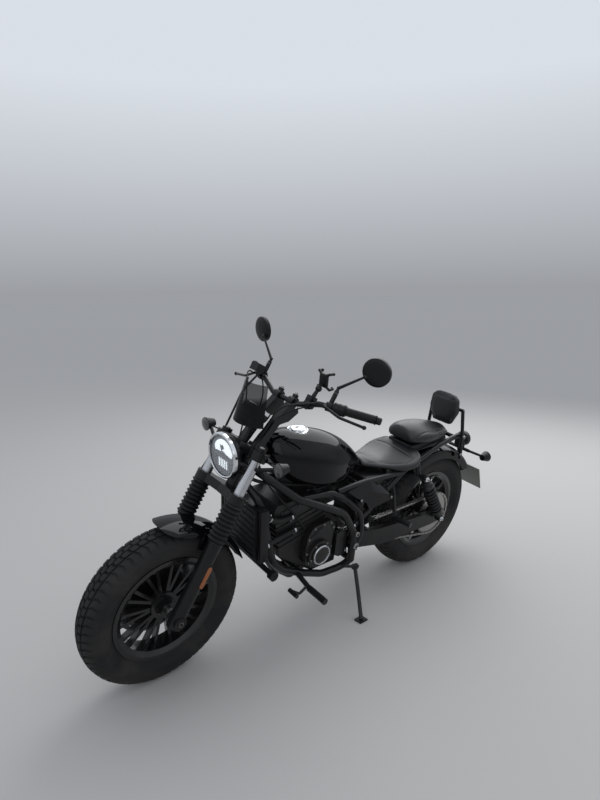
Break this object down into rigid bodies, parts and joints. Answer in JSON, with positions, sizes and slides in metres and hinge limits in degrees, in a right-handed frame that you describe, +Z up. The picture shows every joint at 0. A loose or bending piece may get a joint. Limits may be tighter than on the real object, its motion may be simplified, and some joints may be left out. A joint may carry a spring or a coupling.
{
  "type": "cruiser motorcycle",
  "caption": "Black parallel-twin cruiser motorcycle with wide tyres, gaitered fork, round headlight, stepped seats and a backrest, leaning on its side stand.",
  "frame": {"origin": "middle of the whole machine's box on the floor, as it stands leaning on its side stand", "axes": "+X forward along the machine, +Y to the rider's left, which is the side it leans to, +Z up"},
  "size_m": [2.2129, 0.8337, 1.3551],
  "materials": {
    "tyre": "matt black rubber",
    "black_alloy": "satin black coated alloy",
    "gloss_black_paint": "gloss black paint",
    "frame_black": "satin black powder coat",
    "engine_black": "matt black engine finish",
    "exhaust_black": "matt black heat-proof coat",
    "satin_silver": "satin silver",
    "steel": "bare steel",
    "moulded_black": "moulded black plastic",
    "black_rubber": "soft black rubber",
    "seat_vinyl": "black seat cover",
    "lamp_lens": "clear lens",
    "caliper_black": "black anodised alloy",
    "plate_white": "blank plate"
  },
  "bodies": {
    "frame": {"main_frame": "frame_black", "subframe": "frame_black", "engine_crankcase": "engine_black", "engine_cylinders": "engine_black", "engine_head": "engine_black", "engine_covers": "engine_black", "radiator": "engine_black", "exhaust_pipes": "exhaust_black", "muffler": "exhaust_black", "fuel_tank": "gloss_black_paint", "filler_cap": "satin_silver", "rider_seat": "seat_vinyl", "pillion_seat": "seat_vinyl", "side_covers": "gloss_black_paint", "chain": "steel", "swingarm": "black_alloy", "rear_axle": "steel", "rear_shocks": "frame_black", "backrest_stays": "frame_black", "backrest_pad": "seat_vinyl", "rear_fender": "gloss_black_paint", "tail_lamp": "moulded_black", "rear_indicators": "moulded_black", "number_plate": "plate_white", "footpegs": "frame_black", "guard_bar": "frame_black", "foot_controls": "frame_black", "rear_caliper": "caliper_black"},
    "rear_wheel": {"rear_rim": "black_alloy", "rear_tyre": "tyre", "rear_disc": "steel", "rear_sprocket": "steel"},
    "steering": {"fork_sliders": "black_alloy", "fork_gaiters": "black_rubber", "lower_clamp": "black_alloy", "upper_clamp": "black_alloy", "fork_sleeves": "satin_silver", "front_axle": "steel", "front_fender": "gloss_black_paint", "headlight_shell": "moulded_black", "headlight_lens": "lamp_lens", "instrument_pod": "moulded_black", "flyscreen": "moulded_black", "front_indicators": "moulded_black", "handlebar": "frame_black", "handlebar_risers": "frame_black", "grips": "black_rubber", "switch_pods": "moulded_black", "hand_levers": "caliper_black", "mirrors": "moulded_black", "phone_holder": "moulded_black", "brake_hose": "black_rubber", "clutch_cable": "black_rubber", "front_caliper": "caliper_black"},
    "front_wheel": {"front_rim": "black_alloy", "front_tyre": "tyre", "front_disc": "steel"},
    "side_stand": {"side_stand": "frame_black"}
  },
  "joints": [
    {"name": "rear_wheel_spin", "type": "hinge", "parent": "frame", "child": "rear_wheel", "pos_m": [-0.69362, -0.11227, 0.32056], "axis": [0, 0.9857, -0.1685], "continuous": true},
    {"name": "steering_turn", "type": "hinge", "parent": "frame", "child": "steering", "pos_m": [0.435, -0.02117, 0.85351], "axis": [-0.4695, 0.1488, 0.8703], "range_deg": [-39.1, 32.9]},
    {"name": "front_wheel_spin", "type": "hinge", "parent": "steering", "child": "front_wheel", "pos_m": [0.78631, -0.10985, 0.31706], "axis": [-0.0477, 0.98, -0.1933], "continuous": true},
    {"name": "side_stand_fold", "type": "hinge", "parent": "frame", "child": "side_stand", "pos_m": [-0.11362, 0.00364, 0.20335], "axis": [0.0039, 0.8845, 0.4665], "range_deg": [0, 93]}
  ]
}
